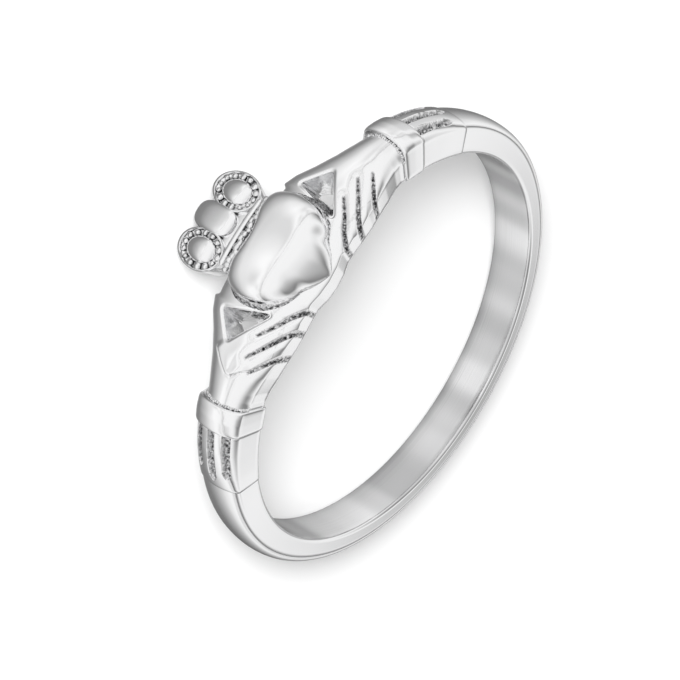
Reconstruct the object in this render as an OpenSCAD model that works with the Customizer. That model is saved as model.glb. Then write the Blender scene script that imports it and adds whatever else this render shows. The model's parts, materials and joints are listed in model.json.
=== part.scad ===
// A cast wedding ring: two cuffed hands hold a crowned heart on a domed band.
// The forms are drawn round the finger's axis, with the heart at angle 0 and z along the finger.
// The finished ring lies on its side, on the lobes of its crown and the back of its band.

/* [Finger] */
// Inside radius of the ring
bore_r = 8.65; // [7.5:0.05:10.5]

/* [Band] */
// Metal thickness at the back of the band
band_wall = 1.33; // [1.1:0.01:1.6]
// Half the width of the band at its back
back_half_width = 0.92; // [0.8:0.01:1]
// Half the width of the band where it leaves the cuffs
shoulder_half_width = 1.12; // [1.02:0.01:1.13]

/* [Cuffs] */
// Angle from the heart to the front of a collar
collar_front = 37.3; // [36.5:0.1:38]
// Angle from the heart to the back of a collar
collar_back = 44.1; // [42:0.1:45]
// Angle from the heart to the end of a sleeve
sleeve_end = 62; // [60:0.5:66]
// Height of a collar above the bore
collar_rise = 1.84; // [1.78:0.01:2]
// Distance between the flutes of a sleeve
flute_pitch = 0.68; // [0.6:0.01:0.72]
// Width of a flute
flute_w = 0.38; // [0.24:0.01:0.44]

/* [Hands] */
// Height of the wrists above the bore
wrist_rise = 1.6; // [1.5:0.01:1.68]
// Width of the grooves between the fingers
finger_groove_w = 0.32; // [0.2:0.01:0.36]

/* [Heart] */
// Height of the heart above the bore
heart_rise = 2.4; // [2.1:0.01:2.8]
// Width of the heart across its lobes
heart_w = 5.1; // [4.9:0.05:5.2]
// Angle that the heart leans, with its tip towards the second hand
heart_lean = 4.5; // [0:0.5:6]

/* [Crown] */
// Height of the crown's face above the bore
crown_rise = 1.25; // [1.1:0.01:1.4]

/* [Head] */
// Length of the head along the finger, from the end of the crown to the heart's tip
head_l = 6.75; // [6.4:0.05:7.2]

/* [Hidden] */
silver = [0.86, 0.86, 0.87];
// The rough forms run in past the bore by these depths, one for each, and the bore trims them
hoop_root = 0.45;
heart_root = 0.3;
crown_root = 0.55;
// Length of the cut that hollows the ring, well past both sides
bore_l = 12;

// As drawn here, the crown ends at this distance from the middle, and the side under the heart's
// tip is this far on the other side. The whole ring is then sized along the finger to head_l
crown_reach = 4.55;
tip_reach = 2.2;
stretch = head_l / (crown_reach + tip_reach);

// The true bore is on a thin liner that ends just short of the band's sides. The rest of the hollow
// is this much wider, and its facets are turned off the sections' planes
liner_relief = 0.02;
hollow_facets = 176;
hollow_turn = 0.53;
liner_wall = 0.25;
liner_half_width = stretch * back_half_width - 0.06;
// Steps across a domed section
dome_steps = 12;

// Columns of the section tables
ANGLE = 0;
CROWN_SIDE = 1;
TIP_SIDE = 2;
DRAFT = 3;
EDGE_RISE = 4;
CREST_RISE = 5;

// Where one form of the hoop ends and the next starts, its section changes within this angle
form_step = 0.1;
// The half of the hoop on one side of the heart. Angle, z of the side towards the crown, z of the
// side towards the heart's tip, draft of the sides, height of the edges above the bore, height of
// the crest above the bore
hand_form = [
    [0, -1.93, tip_reach, 0.02, 0.85, 1.2],
    [4, -1.93, 2.13, 0.02, 0.85, 1.2],
    [7.5, -1.95, 1.96, 0.02, 0.84, 1.2],
    [13, -1.97, 1.93, 0.02, 0.82, 1.2],
    [15, -1.98, 1.91, 0.02, 0.82, 1.22],
    [15.6, -2.18, 1.9, 0.04, 0.8, 1.24],
    [19, -2.02, 1.84, 0.06, 0.81, 1.32],
    [23, -1.66, 1.7, 0.08, 0.83, 1.44],
    [28, -1.33, 1.52, 0.1, 0.84, wrist_rise - 0.04],
    [33, -1.12, 1.29, 0.1, 0.84, wrist_rise],
    [35.5, -1.05, 1.21, 0.1, 0.84, wrist_rise],
    [collar_front - form_step, -1.03, 1.18, 0.1, 0.84, wrist_rise],
];
collar_form = [
    [collar_front, -1.21, 1.31, 0.16, collar_rise - 0.58, collar_rise - 0.12],
    [collar_front + 1.2, -1.23, 1.32, 0.16, collar_rise - 0.52, collar_rise - 0.02],
    [collar_front + 3.3, -1.23, 1.32, 0.16, collar_rise - 0.5, collar_rise],
    [collar_back - 1, -1.23, 1.31, 0.16, collar_rise - 0.52, collar_rise - 0.04],
    [collar_back, -1.22, 1.3, 0.16, collar_rise - 0.6, collar_rise - 0.11],
];
sleeve_form = [
    [collar_back + form_step, -1.18, 1.23, 0.15, collar_rise - 0.68, collar_rise - 0.15],
    [collar_back + 6, -1.17, 1.21, 0.15, collar_rise - 0.7, collar_rise - 0.2],
    [sleeve_end - 5, -1.16, 1.19, 0.14, collar_rise - 0.74, collar_rise - 0.33],
    [sleeve_end - 1, -1.155, 1.17, 0.13, collar_rise - 0.78, collar_rise - 0.43],
    [sleeve_end, -1.135, 1.15, 0.13, collar_rise - 0.84, collar_rise - 0.44],
];
// Angle, height of the band's edges above the bore, draft of its sides: nearly square at the
// cuffs, domed at the back
band_edges = [[62, 1.02, 0.12], [80, 0.92, 0.08], [110, 0.66, 0.03], [180, 0.5, 0.03]];
band_start = sleeve_end + form_step;
band_steps = 30;
band_form = [
    for (i = [0 : band_steps])
        let (
            a = band_start + (180 - band_start) * i / band_steps,
            fade = (1 + cos(a)) / (1 + cos(sleeve_end)),
            half = back_half_width + (shoulder_half_width - back_half_width) * fade
        )
        [a, -half, half, at(band_edges, 2, a), at(band_edges, 1, a), band_wall]
];
// Largest angle between two sections of the hands and cuffs
section_step = 2;

// Angle and z of both ends of the grooves between the fingers
finger_grooves = [
    [19.2, 0.55, 8.2, 2.2],
    [24.8, 0.52, 13, 2.2],
    [28, 0.85, 19, 2.2],
];
// How deep the middles of those grooves are at both ends, and how much narrower they start
finger_depths = [-0.02, 0.06];
finger_taper = 0.25;
// Angle of both ends of a flute, and how deep its middle is at its start
flute_angles = [collar_back + 0.3, 59];
flute_depth = 0.1;

// Angle and z of the corners of the window between thumb, finger and heart, before rounding
window_corners = [[17.6, -1.22], [22.3, -0.52], [14, 0.55]];
window_corner_r = 0.17;
window_angle = 18.5;

// Half of the heart's outline from the cleft to the tip: x and z in parts of half the width
half_heart = [
    [0, -0.61], [0.27, -0.67], [0.59, -0.74], [0.86, -0.63], [0.99, -0.35], [0.98, -0.04],
    [0.9, 0.2], [0.71, 0.43], [0.49, 0.55], [0.32, 0.69], [0.14, 0.79], [0, 0.83],
];
heart_x = -0.12;
// Levels of the heart: size of the outline round the finger and along it, height above the bore
// as a part of the heart's rise
heart_levels = [
    [1.27, 0.95, 0.17], [1.22, 0.96, 0.3], [1.12, 0.98, 0.5], [1.02, 1, 0.6], [0.99, 0.99, 0.68],
    [0.93, 0.93, 0.77], [0.84, 0.84, 0.855], [0.7, 0.7, 0.93], [0.5, 0.5, 0.98], [0.2, 0.2, 1],
];
// The heart falls away towards its tip from this z, by this much for each square millimetre
heart_sag_from = 0.4;
heart_sag = 0.2;

// Crown: ends of the bar and of the groove beside it, and the form of its lobes
crown_bar_end = 9.6;
crown_bar_side = -2.42;
crown_strip_side = -2.14;
crown_foot_side = -1.84;
// A low web closes the corners between the bar and the lobes
crown_web_side = -3.1;
crown_web_end = 5;
outer_lobe = [1.36, 0.88, 1.1];
middle_lobe = [0, 0.66, 0.95];
lobe_square = [2, 2.7];
// Levels of a lobe with a rim round a domed middle, and of a plain one: size, height above the
// bore as a part of the crown's rise
rimmed_levels = [
    for (level = [
        [1, 0.93], [0.96, 1], [0.76, 1], [0.72, 0.88], [0.64, 0.88],
        [0.58, 0.98], [0.4, 1.06], [0.1, 1.08],
    ]) [level[0], level[0], level[1]]
];
plain_levels = [
    for (level = [[1, 0.88], [0.92, 0.97], [0.7, 1.03], [0.35, 1.06], [0.1, 1.07]])
        [level[0], level[0], level[1]]
];
lobe_points = 36;

// The ring lies on the inner edges of its outer lobes and on the lower edge of its back, with the
// middle of its bore at the origin
lobe_depth = bore_r * cos(asin(outer_lobe[0] / (bore_r + crown_rise)));
back_depth = bore_r + band_edges[len(band_edges) - 1][1];
rest_tilt = atan(stretch * (crown_reach - back_half_width) / (lobe_depth + back_depth));

// A point at a radius, an angle round the finger from the heart and a height along the finger
function polar(r, a, z) = [r * sin(a), -r * cos(a), z];
// The value of one column of a table at an angle
function at(table, c, a) = lookup(a, [for (row = table) [row[ANGLE], row[c]]]);
// Height of a dome between its edge and its crest, at a part u of its half width
function dome(edge, crest, u) = edge + (crest - edge) * sqrt(max(0, 1 - u * u));
// Height of a tabled form above the bore at an angle and a z
function rise_at(table, a, z) =
    let (
        low = at(table, CROWN_SIDE, a),
        high = at(table, TIP_SIDE, a),
        u = (2 * z - low - high) / (high - low)
    )
    dome(at(table, EDGE_RISE, a), at(table, CREST_RISE, a), u);

// One section in the plane at angle a: bore side, then the dome from one edge to the other
function section(a, low, high, draft, edge, crest, root) =
    let (mid = (low + high) / 2, half = (high - low) / 2 - draft)
    [
        polar(bore_r - root, a, high),
        polar(bore_r - root, a, low),
        for (i = [0 : dome_steps])
            let (u = -cos(180 * i / dome_steps))
            polar(bore_r + dome(edge, crest, u), a, mid + half * u),
    ];

// The angles of a table's rows, with steps between them
function angles(table) = [
    for (i = [0 : len(table) - 2])
        let (a = table[i][ANGLE], b = table[i + 1][ANGLE], n = ceil((b - a) / section_step))
        for (k = [0 : n - 1]) a + (b - a) * k / n,
];

// Side walls through rings that have the same number of points, from one ring to the next
function walls(count, m, closed) = [
    for (i = [0 : closed ? count - 1 : count - 2], j = [0 : m - 1])
        let (
            a = i * m + j,
            b = i * m + (j + 1) % m,
            c = ((i + 1) % count) * m + (j + 1) % m,
            d = ((i + 1) % count) * m + j
        )
        each [[a, b, c], [a, c, d]]
];

// A closed solid through rings, with a face at both ends
module loft(rings) {
    m = len(rings[0]);
    last = (len(rings) - 1) * m;
    start = [for (j = [m - 1 : -1 : 0]) j];
    end = [for (j = [0 : m - 1]) last + j];
    polyhedron([for (ring = rings) each ring], concat(walls(len(rings), m, false), [start, end]));
}

// A form that follows the finger: its outline, round the finger and along it, at levels of size
// and height, which sag towards its tip
module pillow(outline, middle, levels, rise, root, sag = 0) {
    loft([
        for (i = [len(levels) - 1 : -1 : -1])
            let (
                level = levels[max(i, 0)],
                r = i < 0 ? bore_r - root : bore_r + rise * level[2]
            )
            [
                for (p = outline)
                    let (
                        a = asin((middle[0] + level[0] * p[0]) / (bore_r + rise)),
                        z = middle[1] + level[1] * p[1],
                        drop = i < 0 ? 0 : sag * pow(max(0, z - heart_sag_from), 2)
                    )
                    polar(r - drop, a, z)
            ]
    ]);
}

// Hands, cuffs and band: one hoop through sections all the way round the finger
module hoop() {
    form = concat(hand_form, collar_form, sleeve_form);
    table = concat(form, band_form);
    right = concat(angles(form), [sleeve_end], [for (row = band_form) row[ANGLE]]);
    left = [for (i = [len(right) - 2 : -1 : 1]) -right[i]];
    rings = [
        for (a = concat(right, left))
            let (b = abs(a))
            section(
                a, at(table, CROWN_SIDE, b), at(table, TIP_SIDE, b), at(table, DRAFT, b),
                at(table, EDGE_RISE, b), at(table, CREST_RISE, b), hoop_root
            )
    ];
    polyhedron([for (ring = rings) each ring], walls(len(rings), len(rings[0]), true));
}

// A straight groove whose middle runs between two points, with a width at each
module groove(from, to, from_w, to_w) {
    along = to - from;
    reach = norm(along);
    translate(from)
        rotate([0, acos(along[2] / reach), atan2(along[1], along[0])])
            cylinder(h = reach, d1 = from_w, d2 = to_w, $fn = 24);
}

// The flutes of a cuff's sleeve
module flutes(side) {
    for (z = [-flute_pitch, 0, flute_pitch]) {
        start_rise = rise_at(sleeve_form, flute_angles[0], z) - flute_depth;
        end_rise = rise_at(sleeve_form, flute_angles[1], z) + flute_w / 3;
        groove(
            polar(bore_r + start_rise, side * flute_angles[0], z),
            polar(bore_r + end_rise, side * flute_angles[1], z),
            flute_w,
            flute_w
        );
    }
}

// The opening between thumb, finger and heart
module window(side, corner_r) {
    r = bore_r + 1;
    rotate([0, 0, side * window_angle])
        rotate([90, 0, 0])
            translate([0, 0, bore_r - 1])
                linear_extrude(4)
                    hull()
                        for (corner = window_corners)
                            translate([side * r * sin(corner[0] - window_angle), corner[1]])
                                circle(corner_r, $fn = 16);
}

// The grooves between the fingers of a hand
module finger_cuts(side) {
    for (line = finger_grooves)
        groove(
            polar(bore_r + rise_at(hand_form, line[0], line[1]) - finger_depths[0],
                side * line[0], line[1]),
            polar(bore_r + at(hand_form, EDGE_RISE, line[2]) - finger_depths[1],
                side * line[2], line[3]),
            finger_taper * finger_groove_w,
            finger_groove_w
        );
}

// The band with its cuffs and hands, which are joined under the heart
module shank() {
    color(silver) difference() {
        hoop();
        for (side = [-1, 1]) {
            window(side, window_corner_r);
            finger_cuts(side);
            flutes(side);
        }
    }
}

module heart() {
    half_w = heart_w / 2;
    n = len(half_heart);
    corners = concat(half_heart, [for (i = [n - 2 : -1 : 1]) [-half_heart[i][0], half_heart[i][1]]]);
    m = len(corners);
    // A smooth curve through the corners
    outline = [
        for (i = [0 : m - 1], t = [0, 1 / 3, 2 / 3])
            let (
                a = corners[(i + m - 1) % m], b = corners[i],
                c = corners[(i + 1) % m], d = corners[(i + 2) % m],
                p = b + t * (c - a) / 2 + t * t * (2 * a - 5 * b + 4 * c - d) / 2
                    + t * t * t * (3 * b - a - 3 * c + d) / 2
            )
            half_w * [
                p[0] * cos(heart_lean) - p[1] * sin(heart_lean),
                p[0] * sin(heart_lean) + p[1] * cos(heart_lean),
            ]
    ];
    color(silver) pillow(outline, [heart_x, 0], heart_levels, heart_rise, heart_root, heart_sag);
}

// Outline of a lobe: an oval, or a rounder box where the power is above 2
function lobe_outline(lobe, power) = [
    for (i = [0 : lobe_points - 1])
        let (a = 360 * i / lobe_points, c = cos(a), s = sin(a))
        [
            lobe[1] * sign(c) * pow(abs(c), 2 / power),
            lobe[2] * sign(s) * pow(abs(s), 2 / power),
        ]
];

module crown() {
    color(silver) {
        for (side = [-1, 1])
            pillow(lobe_outline(outer_lobe, lobe_square[0]),
                [side * outer_lobe[0], outer_lobe[2] - crown_reach],
                rimmed_levels, crown_rise, crown_root);
        pillow(lobe_outline(middle_lobe, lobe_square[1]), [middle_lobe[0], middle_lobe[2] - crown_reach],
            plain_levels, crown_rise, crown_root - 0.05);
        crown_arc(crown_web_side, crown_bar_side, crown_web_end, 0.85 * crown_rise);
        crown_arc(crown_bar_side - 0.3, crown_strip_side, crown_bar_end - 0.8, 1.02 * crown_rise);
        crown_arc(crown_strip_side - 0.1, crown_foot_side, crown_bar_end, 0.9 * crown_rise);
    }
}

// A bar of the crown round the finger, between two heights along it
module crown_arc(low, high, reach, rise) {
    rotate([0, 0, -90 - reach])
        rotate_extrude(angle = 2 * reach, $fn = 180)
            translate([bore_r - crown_root - 0.1, low])
                square([rise + crown_root + 0.1, high - low]);
}

module forms() {
    shank();
    heart();
    crown();
}

// All forms as one body, hollowed round the finger and sized along it
module body() {
    resize([0, 0, head_l])
        difference() {
            forms();
            rotate([0, 0, hollow_turn])
                cylinder(r = bore_r + liner_relief, h = bore_l, center = true, $fn = hollow_facets);
        }
}

// The true bore, on a thin liner that is fused into the body all the way round and is open where
// the windows are
module liner() {
    difference() {
        rotate_extrude($fn = 180)
            translate([bore_r, -liner_half_width])
                square([liner_wall, 2 * liner_half_width]);
        for (side = [-1, 1])
            scale([1, 1, stretch])
                window(side, window_corner_r + liner_relief);
    }
}

module ring() {
    rotate([-rest_tilt, 0, 0])
        color(silver) {
            body();
            liner();
        }
}

ring();
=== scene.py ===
# A bright cast ring: two cuffed hands hold a crowned heart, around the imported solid
import json
import math

import bpy
import bmesh
import numpy as np
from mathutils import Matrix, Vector


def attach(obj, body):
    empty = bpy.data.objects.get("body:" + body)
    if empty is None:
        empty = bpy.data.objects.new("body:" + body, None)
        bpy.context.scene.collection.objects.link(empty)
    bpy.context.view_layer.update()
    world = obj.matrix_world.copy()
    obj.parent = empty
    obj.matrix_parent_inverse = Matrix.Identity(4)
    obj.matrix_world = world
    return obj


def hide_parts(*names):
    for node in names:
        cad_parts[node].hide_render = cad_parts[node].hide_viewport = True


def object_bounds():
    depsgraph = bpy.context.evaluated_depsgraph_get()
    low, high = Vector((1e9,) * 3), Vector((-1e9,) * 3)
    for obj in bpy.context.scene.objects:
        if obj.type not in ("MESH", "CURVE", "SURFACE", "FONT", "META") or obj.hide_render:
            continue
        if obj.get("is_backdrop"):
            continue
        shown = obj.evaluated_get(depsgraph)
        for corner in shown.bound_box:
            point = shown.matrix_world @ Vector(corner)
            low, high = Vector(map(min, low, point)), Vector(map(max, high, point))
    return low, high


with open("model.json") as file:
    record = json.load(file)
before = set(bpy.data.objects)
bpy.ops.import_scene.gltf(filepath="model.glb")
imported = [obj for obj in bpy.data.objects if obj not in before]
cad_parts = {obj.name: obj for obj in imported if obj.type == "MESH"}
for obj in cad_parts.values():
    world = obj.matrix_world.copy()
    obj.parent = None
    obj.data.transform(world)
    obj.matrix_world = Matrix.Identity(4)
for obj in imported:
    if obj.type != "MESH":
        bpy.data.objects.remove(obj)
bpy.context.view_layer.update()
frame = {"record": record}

bore = next(m for m in frame["record"]["mounts"] if m["name"] == "finger_bore")
boreR = bore["dims"]["r_mm"]
restTilt = math.atan2(bore["axis"][1], bore["axis"][2])  # the ring lies tilted on its crown
metresPerMm = 0.001
dice = np.random.default_rng(11)

# Everything is drawn round the finger in millimetres and degrees: the heart is at angle 0, z runs
# along the finger with the heart's tip up, and heights and rises are above the bore


def toWorld(points):
    c, s = math.cos(restTilt), math.sin(restTilt)
    x, y, z = points[..., 0], points[..., 1], points[..., 2]
    return np.stack([x, y * c + z * s, z * c - y * s], axis=-1) * metresPerMm


def fromWorld(points):
    c, s = math.cos(restTilt), math.sin(restTilt)
    x, y, z = (points[..., i] / metresPerMm for i in range(3))
    return np.stack([x, y * c - z * s, z * c + y * s], axis=-1)


def polar(r, angle, z):
    a = np.radians(angle)
    return np.stack(np.broadcast_arrays(r * np.sin(a), -r * np.cos(a), z), axis=-1)


def unpolar(points):
    x, y, z = points[..., 0], points[..., 1], points[..., 2]
    return np.hypot(x, y), np.degrees(np.arctan2(x, -y)), z


def smoothStep(low, high, value):
    t = np.clip((value - low) / (high - low), 0, 1)
    return t * t * (3 - 2 * t)


softOffsets = np.linspace(-2, 2, 9)
softWeights = np.exp(-softOffsets ** 2 / 2) / np.exp(-softOffsets ** 2 / 2).sum()


def along(table, column, angle, soften=0.0):
    # a column of a table at angles on either side of the heart, softened over some degrees
    rows = np.array(table, dtype=float)
    return sum(
        weight * np.interp(np.abs(angle + soften * offset), rows[:, 0], rows[:, column])
        for offset, weight in zip(softOffsets, softWeights)
    )


def toLine(line, angle, z, r):
    # to a line of (angle, z) points at a radius: the distance in mm, how far along the line its
    # nearest point is (0 to 1), and the side of the line
    scale = math.pi / 180 * r
    points = np.array(line, dtype=float) * [scale, 1]
    lengths = np.hypot(*np.diff(points, axis=0).T)
    total, passed = lengths.sum(), 0.0
    best = np.full(np.shape(angle), np.inf)
    part = np.zeros(np.shape(angle))
    side = np.zeros(np.shape(angle))
    for (x0, y0), (x1, y1), length in zip(points[:-1], points[1:], lengths):
        dx, dy = (x1 - x0) / length, (y1 - y0) / length
        px, py = angle * scale - x0, z - y0
        t = np.clip(px * dx + py * dy, 0, length)
        d = np.hypot(px - t * dx, py - t * dy)
        nearer = d < best
        best = np.where(nearer, d, best)
        part = np.where(nearer, (passed + t) / total, part)
        side = np.where(nearer, np.sign(px * dy - py * dx), side)
        passed += length
    return best, part, side


# Meshes


def meshObject(name, verts, faces):
    mesh = bpy.data.meshes.new(name)
    mesh.from_pydata(toWorld(verts).tolist(), [], faces)
    work = bmesh.new()
    work.from_mesh(mesh)
    bmesh.ops.recalc_face_normals(work, faces=work.faces)
    work.to_mesh(mesh)
    work.free()
    piece = bpy.data.objects.new(name, mesh)
    bpy.context.collection.objects.link(piece)
    mesh.materials.append(silver)
    return piece


def loft(name, rings):
    # a closed skin over rings of points, capped at both ends
    n, m = rings.shape[:2]
    i, j = np.meshgrid(np.arange(n - 1), np.arange(m), indexing="ij")
    a, b = i * m + j, i * m + (j + 1) % m
    faces = np.stack([a, b, b + m, a + m], axis=-1).reshape(-1, 4).tolist()
    faces += [list(range(m - 1, -1, -1)), list(range((n - 1) * m, n * m))]
    return meshObject(name, rings.reshape(-1, 3), faces)


sectionSteps = {"dome": 96, "wall": 7, "inner": 8, "corner": 5, "cornerR": 0.13}


def sections(angles, low, high, draft, edge, crest, detail=None, steps=sectionSteps):
    # closed rings across the band: bore face with rounded edges, side wall, dome, side wall
    columns = [np.broadcast_to(np.asarray(v, dtype=float), angles.shape)[:, None]
               for v in (low, high, draft, edge, crest)]
    low, high, draft, edge, crest = columns
    a = angles[:, None]
    u = -np.cos(np.pi * np.linspace(0, 1, steps["dome"]))
    domeZ = (low + high) / 2 + ((high - low) / 2 - draft) * u
    domeR = boreR + edge + (crest - edge) * np.sqrt(1 - u ** 2)
    if detail is not None:
        domeR = domeR + detail(np.broadcast_to(a, domeZ.shape), domeZ)
    turn = np.linspace(0, math.pi / 2, steps["corner"])
    c = steps["cornerR"]
    highCorner = (boreR + c * (1 - np.sin(turn)), high - c * (1 - np.cos(turn)))
    lowCorner = (boreR + c * (1 - np.sin(turn[::-1])), low + c * (1 - np.cos(turn[::-1])))
    t = np.linspace(0, 1, steps["inner"] + 1)[1:-1]
    inner = (boreR + 0 * t, high - c + (low - high + 2 * c) * t)
    t = np.linspace(0, 1, steps["wall"] + 1)[1:-1]
    lowWall = (boreR + c + (domeR[:, :1] - boreR - c) * t, low + (domeZ[:, :1] - low) * t)
    highWall = (domeR[:, -1:] + (boreR + c - domeR[:, -1:]) * t,
                domeZ[:, -1:] + (high - domeZ[:, -1:]) * t)
    parts = [highCorner, inner, lowCorner, lowWall, (domeR, domeZ), highWall]
    n = len(angles)
    r, z = (np.hstack([np.broadcast_to(p[k], (n, np.shape(p[k])[-1])) for p in parts])
            for k in (0, 1))
    return polar(r, np.broadcast_to(a, r.shape), z)


footSizes = (1, 0.85, 0.65, 0.45, 0.25, 0.03)


def pillow(outline, middle, levels, rise, foot, sag=None):
    # rings of an outline (mm round the finger, mm along it) at levels of size and height,
    # closed at its foot by rings that follow the bore
    lastRound, lastAlong, _ = levels[-1]
    closing = [(lastRound * s, lastAlong * s, None) for s in footSizes]
    rings = []
    for sizeRound, sizeAlong, height in levels + closing:
        x = middle[0] + sizeRound * outline[:, 0]
        z = middle[1] + sizeAlong * outline[:, 1]
        angle = np.degrees(np.arcsin(x / (boreR + rise)))
        if height is None:
            r = boreR + foot
        else:
            r = np.maximum(boreR + rise * height - (sag(z) if sag else 0 * z), boreR + foot)
        rings.append(polar(r, angle, z))
    return np.array(rings)


finishing = {
    "creaseAngle": 38,  # edges sharper than this stay sharp
    "grainFade": (0.1, 0.2), "boreFade": (0.02, 0.05),  # heights over which the masks fade
}


def finish(piece, grain=None):
    # smooth shading with sharp creases, and masks for the grain and for the brushed bore with its
    # painted sheen
    mesh = piece.data
    mesh.polygons.foreach_set("use_smooth", [True] * len(mesh.polygons))
    mesh.set_sharp_from_angle(angle=math.radians(finishing["creaseAngle"]))
    flat = np.empty(len(mesh.vertices) * 3, dtype=np.float32)
    mesh.vertices.foreach_get("co", flat)
    r, angle, z = unpolar(fromWorld(flat.reshape(-1, 3).astype(float)))
    rise = r - boreR
    masks = {
        "grain": grain(r, angle, z) * smoothStep(*finishing["grainFade"], rise) if grain else 0 * r,
        "boreFace": 1 - smoothStep(*finishing["boreFade"], rise),
    }
    for name, values in masks.items():
        layer = mesh.attributes.new(name, "FLOAT", "POINT")
        layer.data.foreach_set("value", np.broadcast_to(values, r.shape).astype(np.float32))
    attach(piece, "root")
    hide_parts("ring")
    return piece


def ball(around, down):
    # the points and faces of a unit ball
    lat = np.linspace(0, math.pi, down + 1)[1:-1]
    lon = np.linspace(0, 2 * math.pi, around, endpoint=False)
    points = [(math.sin(p) * math.cos(q), math.sin(p) * math.sin(q), math.cos(p))
              for p in lat for q in lon]
    points = np.array([(0, 0, 1)] + points + [(0, 0, -1)])
    last, base = len(points) - 1, 1 + (down - 2) * around
    faces = []
    for k in range(around):
        beside = (k + 1) % around
        faces += [(0, 1 + k, 1 + beside), (base + k, last, base + beside)]
        for row in range(1, base, around):
            faces.append((row + k, row + k + around, row + beside + around, row + beside))
    return points, faces


beadLumps = 0.12  # how far a bead is from round, in parts of its radius


def beads(name, spots, squash=0.8, steps=(9, 6)):
    # small cast beads in one piece: spots are (r, angle, z, radius) and sit upright on the ring
    points, ballFaces = ball(*steps)
    verts, faces = [], []
    for r, angle, z, size in spots:
        shape = points * size * (1 + beadLumps * dice.standard_normal(3)) * [1, 1, squash]
        out, side = polar(1.0, angle, 0.0), polar(1.0, angle + 90, 0.0)
        solid = shape[:, :1] * side + shape[:, 1:2] * [0, 0, 1] + shape[:, 2:] * out
        faces += [tuple(i + len(verts) for i in f) for f in ballFaces]
        verts += (polar(r, angle, z) + solid).tolist()
    return meshObject(name, np.array(verts), faces)


# Shader nodes


def feed(links, value, socket):
    # a socket takes another node's output, or a constant
    if isinstance(value, bpy.types.NodeSocket):
        links.new(value, socket)
    else:
        socket.default_value = value


def newGroup(name, inputs, outputs):
    group = bpy.data.node_groups.new(name, "ShaderNodeTree")
    for label, kind, value in inputs:
        socket = group.interface.new_socket(name=label, in_out="INPUT", socket_type=kind)
        socket.default_value = value
    for label, kind in outputs:
        group.interface.new_socket(name=label, in_out="OUTPUT", socket_type=kind)
    return group, group.nodes.new("NodeGroupInput"), group.nodes.new("NodeGroupOutput")


def mathNode(nodes, links, operation, *values):
    node = nodes.new("ShaderNodeMath")
    node.operation = operation
    for socket, value in zip(node.inputs, values):
        feed(links, value, socket)
    return node.outputs[0]


def mixColours(nodes, links, part, first, second):
    mix = nodes.new("ShaderNodeMix")
    mix.data_type = "RGBA"
    for socket, value in (("Factor", part), (6, first), (7, second)):  # 6 and 7 are the colours
        feed(links, value, mix.inputs[socket])
    return mix.outputs[2]


def mapRange(nodes, links, value, low, high, kind="LINEAR"):
    node = nodes.new("ShaderNodeMapRange")
    node.interpolation_type = kind
    for label, source in (("Value", value), ("From Min", low), ("From Max", high)):
        feed(links, source, node.inputs[label])
    return node.outputs["Result"]


def makeNoise(nodes, links, vector, scale, detail, dimensions="3D"):
    noise = nodes.new("ShaderNodeTexNoise")
    noise.noise_dimensions = dimensions
    for label, source in (("Vector", vector), ("Scale", scale), ("Detail", detail)):
        feed(links, source, noise.inputs[label])
    return noise.outputs["Fac"]


def makeRamp(nodes, links, value, stops):
    # a grey ramp from (position, brightness) stops
    ramp = nodes.new("ShaderNodeValToRGB")
    links.new(value, ramp.inputs["Fac"])
    marks = ramp.color_ramp.elements
    while len(marks) < len(stops):
        marks.new(0.5)
    for mark, (spot, shade) in zip(marks, stops):
        mark.position, mark.color = spot, (shade, shade, shade, 1)
    return ramp.outputs["Color"]


castGrain = {"detail": 3, "pitsFrom": 0.62, "pitsFull": 0.4}


def makeCastGrain(g):
    # sandy casting grain where the mask is on: a height for a bump, a rougher gloss, darker pits
    group, given, out = newGroup(
        "castGrain",
        [("Mask", "NodeSocketFloat", 0.0),
         ("Grain Scale", "NodeSocketFloat", 9000.0),
         ("Smooth Roughness", "NodeSocketFloat", 0.07),
         ("Grain Roughness", "NodeSocketFloat", 0.25),
         ("Metal", "NodeSocketColor", (0.9, 0.9, 0.9, 1)),
         ("Pits", "NodeSocketColor", (0.2, 0.2, 0.2, 1))],
        [("Height", "NodeSocketFloat"),
         ("Roughness", "NodeSocketFloat"),
         ("Color", "NodeSocketColor")],
    )
    nodes, links = group.nodes, group.links
    mask = given.outputs["Mask"]
    place = nodes.new("ShaderNodeTexCoord").outputs["Object"]
    noise = makeNoise(nodes, links, place, given.outputs["Grain Scale"], g["detail"])
    links.new(mathNode(nodes, links, "MULTIPLY", noise, mask), out.inputs["Height"])
    rough = nodes.new("ShaderNodeMix")
    links.new(mask, rough.inputs["Factor"])
    links.new(given.outputs["Smooth Roughness"], rough.inputs["A"])
    links.new(given.outputs["Grain Roughness"], rough.inputs["B"])
    links.new(rough.outputs["Result"], out.inputs["Roughness"])
    depth = mapRange(nodes, links, noise, g["pitsFrom"], g["pitsFull"])
    pitted = mathNode(nodes, links, "MULTIPLY", depth, mask)
    links.new(mixColours(nodes, links, pitted, given.outputs["Metal"], given.outputs["Pits"]),
              out.inputs["Color"])
    return group


roundBrushing = {"lineBreaks": 1.5, "lineDetail": 2, "sheenDetail": 1, "sheenFade": (0.35, 0.62)}


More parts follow.
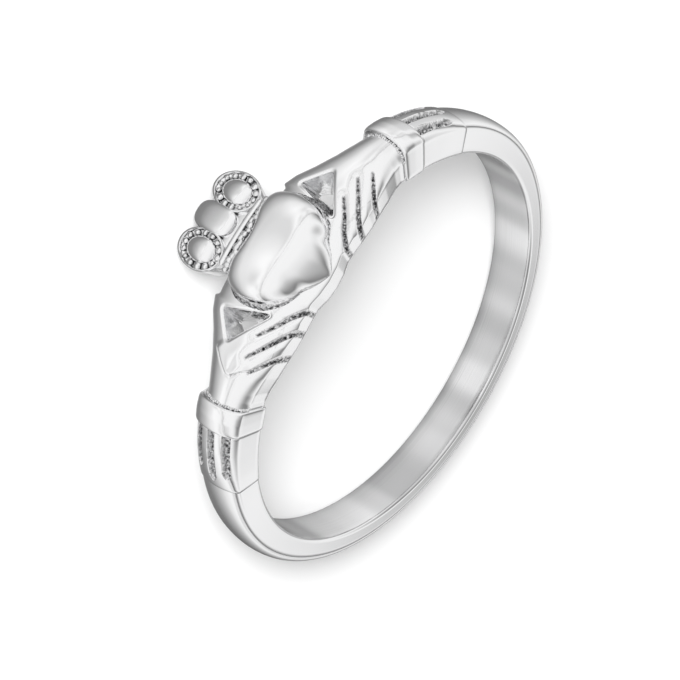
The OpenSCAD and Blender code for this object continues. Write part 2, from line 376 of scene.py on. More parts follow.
def makeRoundBrushing(b):
    # fine marks that run round the finger: noise read along the finger, nearly constant round it,
    # and a slow change of painted sheen round the finger, a mask for brighter and darker bands in
    # the bore's colour
    group, given, out = newGroup(
        "roundBrushing",
        [("Mask", "NodeSocketFloat", 0.0), ("Lines", "NodeSocketFloat", 16000.0),
         ("Sheen Bands", "NodeSocketFloat", 2.4)],
        [("Height", "NodeSocketFloat"), ("Sheen", "NodeSocketFloat")],
    )
    nodes, links = group.nodes, group.links
    mask = given.outputs["Mask"]
    lay = nodes.new("ShaderNodeMapping")
    lay.inputs["Rotation"].default_value = (restTilt, 0, 0)
    links.new(nodes.new("ShaderNodeTexCoord").outputs["Object"], lay.inputs["Vector"])
    split = nodes.new("ShaderNodeSeparateXYZ")
    links.new(lay.outputs["Vector"], split.inputs["Vector"])
    angle = mathNode(nodes, links, "ARCTAN2", split.outputs["X"], split.outputs["Y"])
    cosine = mathNode(nodes, links, "COSINE", angle)
    sine = mathNode(nodes, links, "SINE", angle)

    def onCircle(size):
        # a point that goes once round a circle as the surface goes round the finger
        joined = nodes.new("ShaderNodeCombineXYZ")
        links.new(mathNode(nodes, links, "MULTIPLY", cosine, size), joined.inputs["X"])
        links.new(mathNode(nodes, links, "MULTIPLY", sine, size), joined.inputs["Y"])
        return joined

    lines = onCircle(b["lineBreaks"])
    links.new(mathNode(nodes, links, "MULTIPLY", split.outputs["Z"], given.outputs["Lines"]),
              lines.inputs["Z"])
    marks = makeNoise(nodes, links, lines.outputs["Vector"], 1, b["lineDetail"])
    links.new(mathNode(nodes, links, "MULTIPLY", marks, mask), out.inputs["Height"])
    bands = onCircle(given.outputs["Sheen Bands"])
    sheen = makeNoise(nodes, links, bands.outputs["Vector"], 1, b["sheenDetail"], "2D")
    sheen = mapRange(nodes, links, sheen, *b["sheenFade"], "SMOOTHSTEP")
    links.new(mathNode(nodes, links, "MULTIPLY", sheen, mask), out.inputs["Sheen"])
    return group


silverLooks = {
    "colour": (0.95, 0.95, 0.955, 1), "pits": (0.07, 0.07, 0.075, 1),
    "polished": 0.12, "grained": 0.32,  # roughness
    "grainScale": 9000.0, "grainDepth": 0.00003,
    # painted shade: inner corners darken towards a dark colour within reach, from and to these
    # shares of open view
    "tarnish": (0.08, 0.08, 0.085, 1), "cornerReach": 0.0002, "cornerDark": 0.1, "cornerLight": 0.5,
    "waveScale": 260.0, "waveDetail": 1, "waveDepth": 0.000004,
    "brushLines": 16000.0, "brushDepth": 0.000004,
    # painted sheen: how many darker bands run round the bore, and their darkest colour
    "sheenBands": 3.1, "dull": (0.58, 0.58, 0.585, 1),
}


def makeSilver(look):
    material = bpy.data.materials.new("brightSilver")
    material.use_nodes = True
    nodes, links = material.node_tree.nodes, material.node_tree.links
    metal = nodes["Principled BSDF"]
    metal.inputs["Metallic"].default_value = 1

    def addGroup(tree, maskName, values):
        # a shared group that works where one of the pieces' masks is on
        group = nodes.new("ShaderNodeGroup")
        group.node_tree = tree
        mask = nodes.new("ShaderNodeAttribute")
        mask.attribute_name = maskName
        links.new(mask.outputs["Fac"], group.inputs["Mask"])
        for label, value in values.items():
            group.inputs[label].default_value = value
        return group

    grain = addGroup(makeCastGrain(castGrain), "grain", {
        "Grain Scale": look["grainScale"], "Smooth Roughness": look["polished"],
        "Grain Roughness": look["grained"], "Metal": look["colour"], "Pits": look["pits"],
    })
    brushing = addGroup(makeRoundBrushing(roundBrushing), "boreFace", {
        "Lines": look["brushLines"], "Sheen Bands": look["sheenBands"],
    })
    links.new(grain.outputs["Roughness"], metal.inputs["Roughness"])
    # painted shade: ambient occlusion darkens the base colour in inner corners and creases
    corners = nodes.new("ShaderNodeAmbientOcclusion")
    corners.inputs["Distance"].default_value = look["cornerReach"]
    shade = mapRange(nodes, links, corners.outputs["AO"], look["cornerDark"], look["cornerLight"])
    # painted sheen: the bore's base colour goes darker in slow bands round the finger
    bright = mixColours(nodes, links, brushing.outputs["Sheen"], grain.outputs["Color"],
                        look["dull"])
    links.new(mixColours(nodes, links, shade, look["tarnish"], bright), metal.inputs["Base Color"])
    place = nodes.new("ShaderNodeTexCoord").outputs["Object"]
    wave = makeNoise(nodes, links, place, look["waveScale"], look["waveDetail"])
    normal = None
    for height, depth in ((wave, look["waveDepth"]),
                          (brushing.outputs["Height"], look["brushDepth"]),
                          (grain.outputs["Height"], look["grainDepth"])):
        bump = nodes.new("ShaderNodeBump")
        bump.inputs["Strength"].default_value = 1
        bump.inputs["Distance"].default_value = depth
        links.new(height, bump.inputs["Height"])
        if normal:
            links.new(normal, bump.inputs["Normal"])
        normal = bump.outputs["Normal"]
    links.new(normal, metal.inputs["Normal"])
    return material


silver = makeSilver(silverLooks)
print("silver is mixed")

# Band: a domed hoop that narrows towards the back

band = {
    "wall": 1.33, "backHalf": 0.92, "shoulderHalf": 1.12, "start": 62, "rings": 240,
    # angle, edge rise, draft
    "edges": [[50, 1.02, 0.13], [62, 1.02, 0.12], [80, 0.92, 0.08], [110, 0.66, 0.03],
              [180, 0.5, 0.03]],
    "soften": 4,
}


def makeBand(b):
    angles = np.linspace(b["start"], 360 - b["start"], b["rings"])
    near = np.minimum(angles, 360 - angles)
    fade = (1 + np.cos(np.radians(angles))) / (1 + math.cos(math.radians(b["start"])))
    half = b["backHalf"] + (b["shoulderHalf"] - b["backHalf"]) * fade
    edge, draft = (along(b["edges"], k, near, b["soften"]) for k in (1, 2))
    return finish(loft("band", sections(angles, -half, half, draft, edge, b["wall"])))


makeBand(band)

# Cuffs: a fluted sleeve behind a smooth collar, both slightly rounded at their ends

cuff = {
    "front": 37.3, "back": 44.1, "end": 62.0, "rise": 1.84,
    # angle, crown side, tip side, draft, and edge and crest measured from the cuff's rise
    "collar": [
        [37.3, -1.21, 1.31, 0.16, -0.55, -0.07], [38.5, -1.23, 1.32, 0.16, -0.52, -0.02],
        [40.6, -1.23, 1.32, 0.16, -0.5, 0], [43.1, -1.23, 1.31, 0.16, -0.52, -0.04],
        [44.1, -1.22, 1.3, 0.16, -0.56, -0.07],
    ],
    "sleeve": [
        [44.2, -1.18, 1.23, 0.15, -0.68, -0.15], [50, -1.17, 1.21, 0.15, -0.7, -0.2],
        [57, -1.16, 1.19, 0.14, -0.74, -0.33], [61, -1.155, 1.17, 0.13, -0.78, -0.43],
        [62, -1.135, 1.15, 0.13, -0.82, -0.47],
    ],
    "soften": 0.2, "stepDegrees": 0.28,
    "rounding": 0.08, "roundOver": 0.6, "roundSteps": (0.0, 0.06, 0.14, 0.26, 0.4),
    "flutes": [(-0.68, 57.0), (0.0, 59.2), (0.68, 57.0)],  # z of the middle, angle of the end
    "fluteHalf": 0.16, "fluteDepth": 0.24, "fluteLip": 0.05, "grainDepth": 0.022,
    "grainFade": 0.1,  # degrees in front of the sleeve over which its grain fades
}


def fluteMask(c, angle, z):
    # 1 inside a flute's floor, 0 on the metal between
    mask = 0 * z
    scale = math.pi / 180 * (boreR + c["rise"])
    for middle, end in c["flutes"]:
        before = (end - np.abs(angle)) * scale
        half = c["fluteHalf"] * np.sqrt(np.clip(before / (2 * c["fluteHalf"]), 0, 1))
        across = smoothStep(half + c["fluteLip"] / 2, half - c["fluteLip"], np.abs(z - middle))
        mask = np.maximum(mask, across * (half > 0))
    return mask


def makeCuff(c, side, name):
    def rounded(angles, first, last):
        near = np.minimum(angles - first, last - angles)
        t = np.clip(1 - near / c["roundOver"], 0, 1)
        return c["rounding"] * (1 - np.sqrt(1 - t * t))

    def flutes(angle, z):
        mask = fluteMask(c, angle, z)
        return -mask * (c["fluteDepth"] + c["grainDepth"] * dice.standard_normal(z.shape))

    def fluteGrain(r, angle, z):
        fade = smoothStep(c["back"] - c["grainFade"], c["back"], np.abs(angle))
        return fluteMask(c, angle, z) * fade

    def part(label, table, first, last, detail=None, grain=None):
        angles = np.linspace(first, last, int((last - first) / c["stepDegrees"]))
        ends = np.array(c["roundSteps"])
        angles = np.unique(np.concatenate([angles, first + ends, last - ends]))
        cut = rounded(angles, first, last)
        low, high, draft, edge, crest = (along(table, k, angles, c["soften"]) for k in range(1, 6))
        rings = sections(side * angles, low + cut, high - cut, draft,
                         c["rise"] + edge - cut, c["rise"] + crest - cut, detail)
        return finish(loft(label, rings), grain)

    part(name + "Collar", c["collar"], c["front"], c["back"])
    part(name + "Sleeve", c["sleeve"], c["back"], c["end"], flutes, fluteGrain)


makeCuff(cuff, 1, "near")
makeCuff(cuff, -1, "far")
print("band and cuffs are in")

# Hands: wrist, back of the hand, thumb and fingers, with a window between thumb, finger and heart

hand = {
    "end": 37.3, "stepDegrees": 0.26, "domeSteps": 130,
    # angle, crown side, tip side, draft, edge rise, crest rise
    "form": [
        [0, -1.93, 2.2, 0.02, 0.85, 1.2], [4, -1.93, 2.13, 0.02, 0.85, 1.2],
        [7.5, -1.95, 1.96, 0.02, 0.84, 1.2], [13, -1.97, 1.93, 0.02, 0.82, 1.2],
        [15, -1.98, 1.91, 0.02, 0.82, 1.22], [15.6, -2.18, 1.9, 0.04, 0.8, 1.24],
        [19, -2.02, 1.84, 0.06, 0.81, 1.32], [23, -1.66, 1.7, 0.08, 0.83, 1.44],
        [28, -1.33, 1.52, 0.1, 0.84, 1.56], [33, -1.12, 1.29, 0.1, 0.84, 1.6],
        [35.5, -1.05, 1.21, 0.1, 0.84, 1.6], [38.3, -1.03, 1.18, 0.1, 0.84, 1.6],
    ],
    "softenSides": 0.25, "softenHeights": 0.8,
    # each groove from between the knuckles to the side wall: angle and z
    "grooves": [
        [(18.9, 0.6), (15.3, 1.1), (11.8, 1.5), (8.8, 1.95)],
        [(24.5, 0.56), (20.6, 1.1), (17.0, 1.55), (13.6, 2.05)],
        [(27.6, 0.88), (24.0, 1.4), (20.4, 1.95)],
    ],
    "grooveHalf": (0.04, 0.085), "grooveDepth": (0.1, 0.2),  # at its start and at its end
    "grooveRise": 1.1, "grooveLip": 0.045, "grainDepth": 0.02,
    # the soft hollow along a groove, which begins with a share of its depth
    "knuckle": 0.13, "knuckleReach": 0.26, "knuckleStart": 0.3,
    # the fold across the back of the near hand
    "fold": [(25.0, -1.0), (26.3, -0.7), (27.9, -0.4), (29.8, 0.0), (29.9, 0.25), (28.2, 0.6),
             (26.9, 1.0)],
    "foldRise": 1.4, "foldHalf": 0.05, "foldDepth": 0.08,
    "foldStep": 0.1, "foldLip": 0.1, "foldReach": 0.5, "foldFadeIn": 0.12, "foldFadeOut": 0.85,
    # corners of the window at its top and at the bore: angle, z
    "windowTop": [(17.0, -1.45), (23.3, -0.5), (12.8, 0.9)],
    "windowFoot": [(19.7, -1.08), (22.5, -0.6), (17.2, -0.2)],
    "windowTopR": 9.8, "windowCorner": 0.13,
    "cutterFrom": -0.4, "cutterTo": 2.4, "cutterRings": 14,  # heights, and rings in the metal
    "rimRise": 1.3, "rimReach": 0.13, "rimDepth": 0.07,
    # the grain of the window's walls: its strength, and the room it fills
    "wallGrain": 0.15, "wallAngles": (12, 24), "wallRises": (0.06, 1.05), "wallZ": 1.5,
}


def grooveField(h, angle, z):
    # how much the grooves lower the hand, and 1 on their floors
    drop, floor = 0 * z, 0 * z
    (half0, half1), (depth0, depth1), start = h["grooveHalf"], h["grooveDepth"], h["knuckleStart"]
    for line in h["grooves"]:
        d, part, _ = toLine(line, np.abs(angle), z, boreR + h["grooveRise"])
        half = half0 + (half1 - half0) * np.sqrt(part)
        depth = depth0 + (depth1 - depth0) * part
        mask = smoothStep(half + h["grooveLip"], half - h["grooveLip"], d)
        soft = h["knuckle"] * np.exp(-(d / h["knuckleReach"]) ** 2) * (start + (1 - start) * part)
        drop = np.maximum(drop, depth * mask + soft)
        floor = np.maximum(floor, mask)
    return drop, floor


def roundedCorners(corners, radius, steps=7, edgeSteps=9):
    # a triangle with round corners as one closed line
    corners = np.array(corners)
    arcs = []
    for k, here in enumerate(corners):
        back = corners[k - 1] - here
        ahead = corners[(k + 1) % len(corners)] - here
        back, ahead = back / np.hypot(*back), ahead / np.hypot(*ahead)
        cut = radius / math.tan(math.acos(np.dot(back, ahead)) / 2)
        t = np.linspace(0, 1, steps)[:, None]
        arcs.append(here + (1 - t) ** 2 * cut * back + t ** 2 * cut * ahead)
    points = []
    for k, arc in enumerate(arcs):
        t = np.linspace(0, 1, edgeSteps)[1:-1, None]
        points += [arc, arc[-1] + (arcs[(k + 1) % len(arcs)][0] - arc[-1]) * t]
    return np.vstack(points)


def windowLine(h, r):
    # the window's outline at a radius, as (angle, z) points on the near side
    t = min((r - boreR) / (h["windowTopR"] - boreR), 1.0)
    scale = math.pi / 180 * h["windowTopR"]
    corners = [((foot[0] + (top[0] - foot[0]) * t) * scale, foot[1] + (top[1] - foot[1]) * t)
               for top, foot in zip(h["windowTop"], h["windowFoot"])]
    line = roundedCorners(corners, h["windowCorner"])
    line[:, 0] /= scale
    return line


def cutWindow(h, piece, side):
    inMetal = np.linspace(boreR, h["windowTopR"], h["cutterRings"])
    rings = []
    for r in [boreR + h["cutterFrom"], *inMetal, boreR + h["cutterTo"]]:
        line = windowLine(h, r)
        rings.append(polar(r, side * line[:, 0], line[:, 1]))
    cutter = loft("windowCutter", np.array(rings))
    cut = piece.modifiers.new("window", "BOOLEAN")
    cut.object, cut.operation, cut.solver = cutter, "DIFFERENCE", "EXACT"
    bpy.context.view_layer.update()
    evaluated = piece.evaluated_get(bpy.context.evaluated_depsgraph_get())
    made = bpy.data.meshes.new_from_object(evaluated)
    piece.modifiers.clear()
    piece.data = made
    bpy.data.objects.remove(cutter)


def makeHands(h):
    rim = windowLine(h, boreR + h["rimRise"])
    rim = np.vstack([rim, rim[:1]])

    def rimDrop(angle, z):
        d, _, _ = toLine(rim, np.abs(angle), z, boreR + h["grooveRise"])
        return h["rimDepth"] * smoothStep(h["rimReach"], 0, d)

    def fold(angle, z):
        d, part, side = toLine(h["fold"], angle, z, boreR + h["foldRise"])
        ends = smoothStep(0, h["foldFadeIn"], part) * smoothStep(1, h["foldFadeOut"], part)
        crease = -h["foldDepth"] * np.exp(-(d / h["foldHalf"]) ** 2)
        step = h["foldStep"] * smoothStep(h["foldLip"], -h["foldLip"], d * side) \
            * np.exp(-(d / h["foldReach"]) ** 2)
        return (crease + step) * ends * (angle > 0)

    def detail(angle, z):
        drop, floor = grooveField(h, angle, z)
        rough = h["grainDepth"] * floor * dice.standard_normal(z.shape)
        return rough - drop - rimDrop(angle, z) + fold(angle, z)

    def grain(r, angle, z):
        _, floor = grooveField(h, angle, z)
        (first, last), (low, high) = h["wallAngles"], h["wallRises"]
        a, rise = np.abs(angle), r - boreR
        wall = (a > first) & (a < last) & (rise > low) & (rise < high) & (np.abs(z) < h["wallZ"])
        return np.maximum(floor, h["wallGrain"] * wall)

    angles = np.linspace(-h["end"], h["end"], int(2 * h["end"] / h["stepDegrees"]))
    values = [along(h["form"], k, angles, h["softenSides"] if k < 3 else h["softenHeights"])
              for k in range(1, 6)]
    steps = dict(sectionSteps, dome=h["domeSteps"])
    piece = loft("hands", sections(angles, *values, detail, steps))
    cutWindow(h, piece, 1)
    cutWindow(h, piece, -1)
    return finish(piece, grain)


makeHands(hand)
print("hands are in")

# Heart: a plump polished cushion on a sandy flank that flares to its base

heart = {
    "rise": 2.4, "width": 5.1, "lean": 4.5, "x": -0.12, "rim": 0.6,
    "foot": 0.16,  # height of its underside, inside the metal
    "half": [  # from the cleft to the tip, in parts of half the width
        (0, -0.57), (0.27, -0.63), (0.59, -0.695), (0.86, -0.6), (0.99, -0.34), (0.98, -0.04),
        (0.9, 0.2), (0.71, 0.43), (0.49, 0.55), (0.32, 0.69), (0.14, 0.79), (0, 0.83),
    ],
    "cornerSteps": 14,
    # the dome's rings: the smallest, their spacing, and how it rounds off to the rim
    "domeSteps": 40, "domeStart": 0.01, "domeSpacing": 0.8, "domePowers": (3, 0.55),
    "middle": (0, -0.1), "ovalUpTo": 0.15,
    # size round the finger, size along it, height as a part of the rise
    "flank": [(1.02, 1.0, 0.58), (1.06, 0.99, 0.54), (1.12, 0.98, 0.47), (1.18, 0.97, 0.38),
              (1.24, 0.955, 0.28), (1.27, 0.95, 0.17), (1.22, 0.89, 0.1)],
    "sagFrom": 0.4, "sag": 0.2,  # the tip bends down towards the side wall
    "grainDepth": 0.018, "grainStart": 0.3, "grainBelow": (0.595, 0.57),
}


def smoothLoop(corners, steps):
    # a smooth closed curve through the corners
    p = [np.roll(corners, k, axis=0)[:, None] for k in (1, 0, -1, -2)]
    t = np.linspace(0, 1, steps, endpoint=False)[None, :, None]
    curve = p[1] + t * (p[2] - p[0]) / 2 \
        + t ** 2 * (2 * p[0] - 5 * p[1] + 4 * p[2] - p[3]) / 2 \
        + t ** 3 * (3 * p[1] - p[0] - 3 * p[2] + p[3]) / 2
    return curve.reshape(-1, 2)


def makeHeart(h):
    half = np.array(h["half"], dtype=float)
    corners = np.vstack([half, half[-2:0:-1] * [-1, 1]])
    c, s = math.cos(math.radians(h["lean"])), math.sin(math.radians(h["lean"]))
    outline = smoothLoop(corners, h["cornerSteps"]) @ np.array([[c, s], [-s, c]]) * h["width"] / 2

    def sag(z):
        return h["sag"] * np.maximum(0, z - h["sagFrom"]) ** 2

    # towards its top the heart's outline goes over into a plain oval, so no crease runs up it
    middle = np.array(h["middle"])
    spread = np.abs(outline - middle).max(axis=0)
    turn = np.arctan2(*((outline - middle) / spread).T[::-1])
    oval = middle + spread * np.stack([np.cos(turn), np.sin(turn)], axis=-1)
    flatTop, shoulder = h["domePowers"]
    rings = []
    for size in np.linspace(h["domeStart"], 1, h["domeSteps"]) ** h["domeSpacing"]:
        share = smoothStep(h["ovalUpTo"], 1.0, size)
        line = size * (oval + (outline - oval) * share) + (1 - size) * middle
        height = h["rim"] + (1 - h["rim"]) * (1 - size ** flatTop) ** shoulder
        angle = np.degrees(np.arcsin((h["x"] + line[:, 0]) / (boreR + h["rise"])))
        rings.append(polar(boreR + h["rise"] * height - sag(line[:, 1]), angle, line[:, 1]))
    flank = pillow(outline, (h["x"], 0), h["flank"], h["rise"], h["foot"], sag)
    rough = np.linspace(h["grainStart"], 1, len(flank))[:, None, None] * h["grainDepth"]
    flank = flank + rough * dice.standard_normal(flank.shape)

    def grain(r, angle, z):
        none, full = h["grainBelow"]
        return smoothStep(boreR + h["rise"] * none, boreR + h["rise"] * full, r + sag(z))

    return finish(loft("heart", np.concatenate([np.array(rings), flank])), grain)


makeHeart(heart)
print("heart is in")

# Crown: three bars, a string of beads and three lobes, the outer two with beaded rims

crown = {
    "rise": 1.25, "reach": 4.55, "points": 72,
    "lift": 0.004,  # the pieces meet inside the metal, each a hair above the last at the bore
    # lobes: x, half width, half length; size and height as a part of the rise
    "outer": (1.36, 0.88, 1.1), "outerPower": 2.0,
    "outerLevels": [
        (0.02, 1.09), (0.2, 1.085), (0.36, 1.06), (0.48, 1.02), (0.57, 0.97), (0.62, 0.9),
        (0.65, 0.86), (0.7, 0.85), (0.8, 0.86), (0.85, 0.88), (0.88, 0.94), (0.91, 0.98),
        (0.95, 0.98), (0.985, 0.95), (1.0, 0.9), (1.0, 0.5), (1.0, 0.2),
    ],
    "middle": (0.0, 0.66, 0.95), "middlePower": 2.7,
    "middleLevels": [
        (0.02, 1.05), (0.25, 1.05), (0.5, 1.045), (0.7, 1.03), (0.84, 1.0), (0.93, 0.96),
        (0.98, 0.9), (1.0, 0.84), (1.0, 0.5), (1.0, 0.2),
    ],
    "lobeBeads": 14, "lobeBeadAt": 0.76, "lobeBeadR": 0.135, "lobeBeadHeight": 0.9,
    "lobeBeadSizes": (0.75, 1.15), "beadGrain": 0.15,
    # bars: crown side, tip side, degrees to either side, height as a part of the rise
    "bars": [(-2.46, -2.16, 8.9, 1.02), (-3.1, -2.4, 6.2, 0.8), (-2.2, -1.82, 9.6, 0.86)],
    "barRings": 60, "barDomeSteps": 16, "barCornerR": 0.02,
    "barRounding": 0.05, "barRoundOver": 0.8, "barDraft": 0.03, "barDome": 0.07,
    "stripBar": 2, "stripGrain": 0.6,  # the bar that the string of beads lies on
    "stripBeads": 17, "stripHeight": 0.96, "stripZ": -2.02, "stripReach": 9.3,
    "stripBeadR": 0.165, "stripBeadSizes": (0.8, 1.1), "stripScatter": 0.04,
}


def lobeOutline(halfWidth, halfLength, power, points):
    t = np.linspace(0, 2 * math.pi, points, endpoint=False)
    c, s = np.cos(t), np.sin(t)
    return np.stack([halfWidth * np.sign(c) * np.abs(c) ** (2 / power),
                     halfLength * np.sign(s) * np.abs(s) ** (2 / power)], axis=-1)


def makeLobe(c, kind, side, name, foot):
    x, halfWidth, halfLength = c[kind]
    middle = (side * x, halfLength - c["reach"])
    outline = lobeOutline(halfWidth, halfLength, c[kind + "Power"], c["points"])
    levels = [(size, size, height) for size, height in c[kind + "Levels"]]
    finish(loft(name, pillow(outline, middle, levels, c["rise"], foot)))
    return middle


def makeLobeBeads(c, middle, name):
    _, halfWidth, halfLength = c["outer"]
    spots = []
    for k in range(c["lobeBeads"]):
        t = 2 * math.pi * (k + 0.5) / c["lobeBeads"]
        x = middle[0] + c["lobeBeadAt"] * halfWidth * math.cos(t)
        z = middle[1] + c["lobeBeadAt"] * halfLength * math.sin(t)
        angle = math.degrees(math.asin(x / (boreR + c["rise"])))
        size = c["lobeBeadR"] * dice.uniform(*c["lobeBeadSizes"])
        spots.append((boreR + c["lobeBeadHeight"] * c["rise"], angle, z, size))
    finish(beads(name, spots), lambda r, a, z: c["beadGrain"])


def makeBar(c, k):
    low, high, reach, height = c["bars"][k]
    angles = np.linspace(-reach, reach, c["barRings"])
    ends = np.clip(1 - (reach - np.abs(angles)) / c["barRoundOver"], 0, 1)
    cut = c["barRounding"] * ends ** 2
    top = height * c["rise"] - cut
    steps = dict(sectionSteps, dome=c["barDomeSteps"], cornerR=c["barCornerR"])
    rings = sections(angles, low + cut, high - cut, c["barDraft"], top - c["barDome"], top,
                     steps=steps)
    r, angle, z = unpolar(rings)
    rings = polar(np.maximum(r, boreR + c["lift"] * (5 + k)), angle, z)
    grain = (lambda r, a, z: c["stripGrain"]) if k == c["stripBar"] else None
    finish(loft(f"crownBar{k + 1}", rings), grain)


def makeCrown(c):
    for side, name in ((1, "near"), (-1, "far")):
        middle = makeLobe(c, "outer", side, name + "Lobe", c["lift"] * (2 + side))
        makeLobeBeads(c, middle, name + "LobeBeads")
    makeLobe(c, "middle", 1, "middleLobe", c["lift"] * 4)
    for k in range(len(c["bars"])):
        makeBar(c, k)
    spots = []
    for angle in np.linspace(-c["stripReach"], c["stripReach"], c["stripBeads"]):
        z = c["stripZ"] + c["stripScatter"] * dice.standard_normal()
        size = c["stripBeadR"] * dice.uniform(*c["stripBeadSizes"])
        spots.append((boreR + c["stripHeight"] * c["rise"], angle, z, size))
    finish(beads("crownStrip", spots), lambda r, a, z: c["beadGrain"])


makeCrown(crown)
print("crown is in")

# Rope lines where the wrists go into the collars

rope = {
    "angle": 37.0, "count": 30, "size": 0.075, "sizes": (0.7, 1.15), "scatter": 0.12,
    "margin": 0.03, "squash": 1.0, "steps": (8, 5), "grain": 0.25,
}


def makeRope(p, side, name):
    low, high, draft, edge, crest = (float(along(hand["form"], k, np.array(p["angle"])))
                                     for k in range(1, 6))
    u = -np.cos(np.pi * np.linspace(p["margin"], 1 - p["margin"], p["count"]))
    spots = []
    for r, z in zip(boreR + edge + (crest - edge) * np.sqrt(1 - u ** 2),
                    (low + high) / 2 + ((high - low) / 2 - draft) * u):
        angle = side * (p["angle"] + p["scatter"] * dice.standard_normal())
        spots.append((r, angle, z, p["size"] * dice.uniform(*p["sizes"])))
    finish(beads(name, spots, p["squash"], p["steps"]), lambda r, a, z: p["grain"])


makeRope(rope, 1, "nearRope")
makeRope(rope, -1, "farRope")
print("rope lines are in")

# Studio: a pale floor, a soft sky and one broad lamp

studio = {
    "floorHalf": 0.2, "floorColour": (0.92, 0.92, 0.92, 1), "floorRoughness": 0.9,
    # what the metal sees of the floor: its brightness by distance from the ring in metres, a
    # painted shade darkest just round the ring and towards the far edge
    "floorFade": [(0.0, 0.95), (0.006, 0.95), (0.0085, 0.42), (0.0105, 0.17), (0.0117, 0.2),
                  (0.0135, 0.38), (0.0165, 0.65), (0.021, 0.77), (0.06, 0.66), (0.12, 0.45),
                  (0.2, 0.38)],
    # painted reflection: patches of brighter and darker floor that only the metal sees
    "floorReach": 0.2, "patchScale": 70.0, "patchShades": [(0.3, 0.72), (0.55, 1.0)],
    "backdrop": (1.0, 1.0, 1.0, 1),
    # the sky's brightness by height, from straight down (0) to straight up (1), before and behind
    "skyFront": [(0.5, 0.92), (0.55, 0.95), (0.78, 0.94), (0.87, 0.87), (0.93, 0.8), (1.0, 0.55)],
    "skyBack": [(0.5, 0.15), (0.56, 0.4), (0.62, 0.84), (0.69, 0.93), (0.77, 0.72), (0.86, 0.22),
                (1.0, 0.4)],
    "skyBlend": 0.4, "skyStrength": 1.0,
    "fill": 0.65, "fillColour": (0.8, 0.8, 0.8, 1),  # what the sky sheds on the floor
    "lampPlace": (0.0, -0.39, 0.26), "lampWidth": 0.24, "lampWatts": 3.5,
}


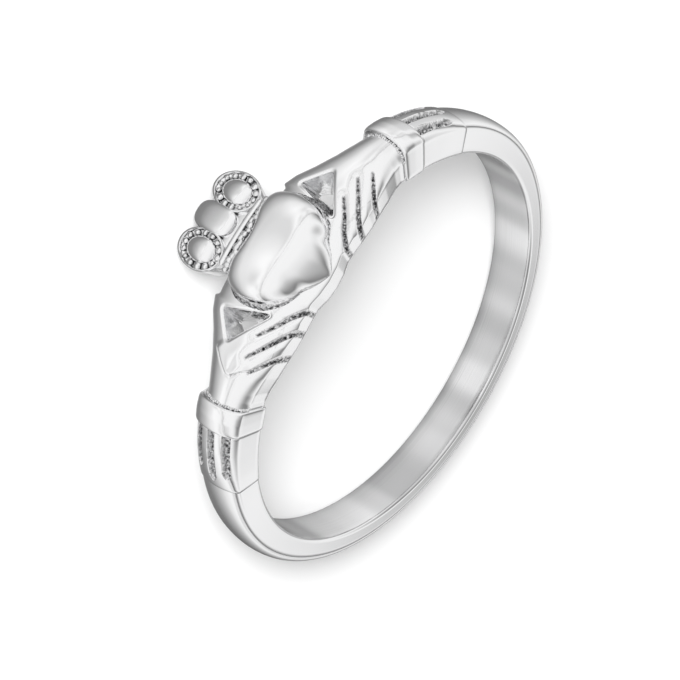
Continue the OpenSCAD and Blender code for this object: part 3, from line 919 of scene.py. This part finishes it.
def makeFloor(s):
    half = s["floorHalf"]
    floor = bpy.data.meshes.new("floor")
    floor.from_pydata([(-half, -half, 0), (half, -half, 0), (half, half, 0), (-half, half, 0)], [],
                      [(0, 1, 2, 3)])
    ground = bpy.data.objects.new("floor", floor)
    ground.location.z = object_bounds()[0].z
    bpy.context.collection.objects.link(ground)
    paper = bpy.data.materials.new("palePaper")
    paper.use_nodes = True
    nodes, links = paper.node_tree.nodes, paper.node_tree.links
    shader = nodes["Principled BSDF"]
    shader.inputs["Roughness"].default_value = s["floorRoughness"]
    shader.inputs["Specular IOR Level"].default_value = 0.0
    place = nodes.new("ShaderNodeTexCoord").outputs["Object"]
    length = nodes.new("ShaderNodeVectorMath")
    length.operation = "LENGTH"
    links.new(place, length.inputs[0])
    far = mathNode(nodes, links, "DIVIDE", length.outputs["Value"], s["floorReach"])
    stops = [(spot / s["floorReach"], s["floorColour"][0] * shade)
             for spot, shade in s["floorFade"]]
    patches = makeNoise(nodes, links, place, s["patchScale"], 0)
    # painted shade and painted reflection: glossy rays see a floor copy darkened by distance from
    # the ring and blotched, while the camera sees the even floor colour
    seen = mixColours(nodes, links, makeRamp(nodes, links, far, stops), (0.0, 0.0, 0.0, 1),
                      makeRamp(nodes, links, patches, s["patchShades"]))
    sight = nodes.new("ShaderNodeLightPath")
    links.new(mixColours(nodes, links, sight.outputs["Is Glossy Ray"], s["floorColour"], seen),
              shader.inputs["Base Color"])
    floor.materials.append(paper)
    ground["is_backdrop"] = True


def makeSky(s):
    world = bpy.data.worlds.new("studioSky")
    bpy.context.scene.world = world
    world.use_nodes = True
    nodes, links = world.node_tree.nodes, world.node_tree.links
    nodes.clear()
    split = nodes.new("ShaderNodeSeparateXYZ")
    links.new(nodes.new("ShaderNodeTexCoord").outputs["Generated"], split.inputs["Vector"])
    height = mathNode(nodes, links, "MULTIPLY_ADD", split.outputs["Z"], 0.5, 0.5)  # 0 to 1
    behind = mapRange(nodes, links, split.outputs["Y"], -s["skyBlend"], s["skyBlend"], "SMOOTHSTEP")
    seen = mixColours(nodes, links, behind, makeRamp(nodes, links, height, s["skyFront"]),
                      makeRamp(nodes, links, height, s["skyBack"]))

    def background(colour, strength):
        shader = nodes.new("ShaderNodeBackground")
        feed(links, colour, shader.inputs["Color"])
        shader.inputs["Strength"].default_value = strength
        return shader.outputs["Background"]

    # the metal mirrors the sky, the floor is lit by an even fill, the camera sees a plain backdrop
    shown = background(seen, s["skyStrength"])
    sight = nodes.new("ShaderNodeLightPath")
    for ray, other in (("Is Diffuse Ray", background(s["fillColour"], s["fill"])),
                       ("Is Camera Ray", background(s["backdrop"], 1.0))):
        pick = nodes.new("ShaderNodeMixShader")
        links.new(sight.outputs[ray], pick.inputs["Fac"])
        links.new(shown, pick.inputs[1])
        links.new(other, pick.inputs[2])
        shown = pick.outputs["Shader"]
    links.new(shown, nodes.new("ShaderNodeOutputWorld").inputs["Surface"])


def makeLamp(s):
    light = bpy.data.lights.new("keyLamp", "AREA")
    light.shape, light.size, light.energy = "DISK", s["lampWidth"], s["lampWatts"]
    lamp = bpy.data.objects.new("keyLamp", light)
    lamp.location = s["lampPlace"]
    lamp.rotation_euler = (-Vector(s["lampPlace"])).to_track_quat("-Z", "Y").to_euler()
    lamp.visible_glossy = False  # the metal mirrors the soft sky alone
    bpy.context.collection.objects.link(lamp)


makeFloor(studio)
makeSky(studio)
makeLamp(studio)

# Camera: the photograph's own angle to the ring, from 220 mm

cameraSettings = {
    "place": (19.859, -165.916, 143.108),  # mm from the middle of the bore
    "turn": (-28.158, -42.022, 135.194),   # degrees
    "lens": 286.64, "sensor": 36.0, "near": 0.01, "far": 10.0,
}


def makeCamera(c):
    data = bpy.data.cameras.new("camera")
    camera = bpy.data.objects.new("camera", data)
    camera.location = Vector(c["place"]) * metresPerMm
    camera.rotation_euler = [math.radians(t) for t in c["turn"]]
    data.lens, data.sensor_width = c["lens"], c["sensor"]
    data.clip_start, data.clip_end = c["near"], c["far"]
    bpy.context.collection.objects.link(camera)
    bpy.context.scene.camera = camera


makeCamera(cameraSettings)
bpy.context.scene.view_settings.view_transform = "Standard"
print("studio and camera are in")
